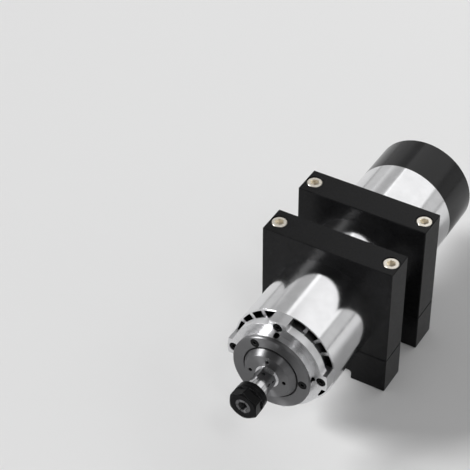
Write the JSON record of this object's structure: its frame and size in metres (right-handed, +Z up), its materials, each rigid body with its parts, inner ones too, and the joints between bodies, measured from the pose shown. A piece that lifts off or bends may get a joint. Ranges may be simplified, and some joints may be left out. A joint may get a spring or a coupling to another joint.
{
  "type": "motor spindle",
  "caption": "Air-cooled high-speed motor spindle with a collet nose, held in split clamps that bolt to a machine.",
  "frame": {"origin": "on the mounting plane under the clamps' feet, midway between the two clamps and under the spindle's axis", "axes": "+Z up from the mounting plane, +Y along the spindle's axis to the rear, the nose points to -Y, +X to the right when seen from the nose"},
  "size_m": [0.085, 0.2425, 0.093],
  "materials": {
    "black_anodised": "black anodised aluminium, satin",
    "bolt_steel": "plated steel, satin",
    "polished_sleeve": "polished metal",
    "machined_aluminium": "turned, bright",
    "dark_turned": "turned, dark grey",
    "bright_steel": "ground, bright",
    "black_oxide": "black oxide",
    "black_plastic": "moulded black plastic, satin",
    "laminations": "stacked electrical steel",
    "winding": "enamelled copper, varnished",
    "cast_aluminium": "cast",
    "bearing_steel": "polished bearing steel",
    "cage_resin": "fabric-filled resin",
    "insulation": "moulded insulation",
    "contact_brass": "gilt brass",
    "wire_skin": "silicone-covered stranded wire"
  },
  "bodies": {
    "housing": {"bearing_cap_screws": "black_oxide", "connector_insulator": "insulation", "connector_nut": "bright_steel", "connector_pins": "contact_brass", "connector_shell": "bright_steel", "fan_cover": "black_plastic", "fan_cover_screws": "black_oxide", "front_bearing_a_outer_ring": "bearing_steel", "front_bearing_b_outer_ring": "bearing_steel", "front_bearing_cap": "dark_turned", "front_clamp_base": "black_anodised", "front_clamp_bolts": "bolt_steel", "front_clamp_upper": "black_anodised", "front_housing": "machined_aluminium", "front_housing_screws": "black_oxide", "lead_wires": "wire_skin", "motor_sleeve": "polished_sleeve", "preload_washer": "bright_steel", "rear_bearing_outer_ring": "bearing_steel", "rear_clamp_base": "black_anodised", "rear_clamp_bolts": "bolt_steel", "rear_clamp_upper": "black_anodised", "rear_housing": "cast_aluminium", "stator_core": "laminations", "stator_windings": "winding"},
    "spindle": {"spindle_shaft": "bright_steel", "rotor_core": "laminations", "rotor_cage": "cast_aluminium", "front_bearing_a_inner_ring": "bearing_steel", "front_bearing_b_inner_ring": "bearing_steel", "rear_bearing_inner_ring": "bearing_steel", "slinger_nut": "dark_turned", "fan_spacer": "bright_steel", "cooling_fan": "black_plastic", "fan_washer": "bright_steel", "fan_screw": "bright_steel"},
    "front_ball_train_a": {"front_bearing_a_balls": "bearing_steel", "front_bearing_a_cage": "cage_resin"},
    "front_ball_train_b": {"front_bearing_b_balls": "bearing_steel", "front_bearing_b_cage": "cage_resin"},
    "rear_ball_train": {"rear_bearing_balls": "bearing_steel", "rear_bearing_cage": "cage_resin"},
    "collet": {"collet": "dark_turned"},
    "collet_nut": {"collet_nut": "black_oxide"}
  },
  "joints": [
    {"name": "spindle_spin", "type": "hinge", "parent": "housing", "child": "spindle", "pos_m": [0, 0, 0.0505], "axis": [0, 1, 0], "continuous": true},
    {"name": "front_ball_train_a_spin", "type": "hinge", "parent": "housing", "child": "front_ball_train_a", "pos_m": [0, -0.0875, 0.0505], "axis": [0, 1, 0], "continuous": true},
    {"name": "front_ball_train_b_spin", "type": "hinge", "parent": "housing", "child": "front_ball_train_b", "pos_m": [0, -0.0785, 0.0505], "axis": [0, 1, 0], "continuous": true},
    {"name": "rear_ball_train_spin", "type": "hinge", "parent": "housing", "child": "rear_ball_train", "pos_m": [0, 0.062, 0.0505], "axis": [0, 1, 0], "continuous": true},
    {"name": "collet_travel", "type": "slide", "parent": "spindle", "child": "collet", "axis": [0, -1, 0], "range_m": [0, 0.006]},
    {"name": "collet_nut_turn", "type": "hinge", "parent": "collet", "child": "collet_nut", "pos_m": [0, -0.1205, 0.0505], "axis": [0, -1, 0], "range_deg": [0, 2880]}
  ],
  "couplings": [
    {"joint": "front_ball_train_a_spin", "follows": "spindle_spin", "ratio": 0.39872},
    {"joint": "front_ball_train_b_spin", "follows": "spindle_spin", "ratio": 0.39872},
    {"joint": "rear_ball_train_spin", "follows": "spindle_spin", "ratio": 0.381},
    {"joint": "collet_travel", "follows": "collet_nut_turn", "m_per_rad": 0.00011937}
  ]
}
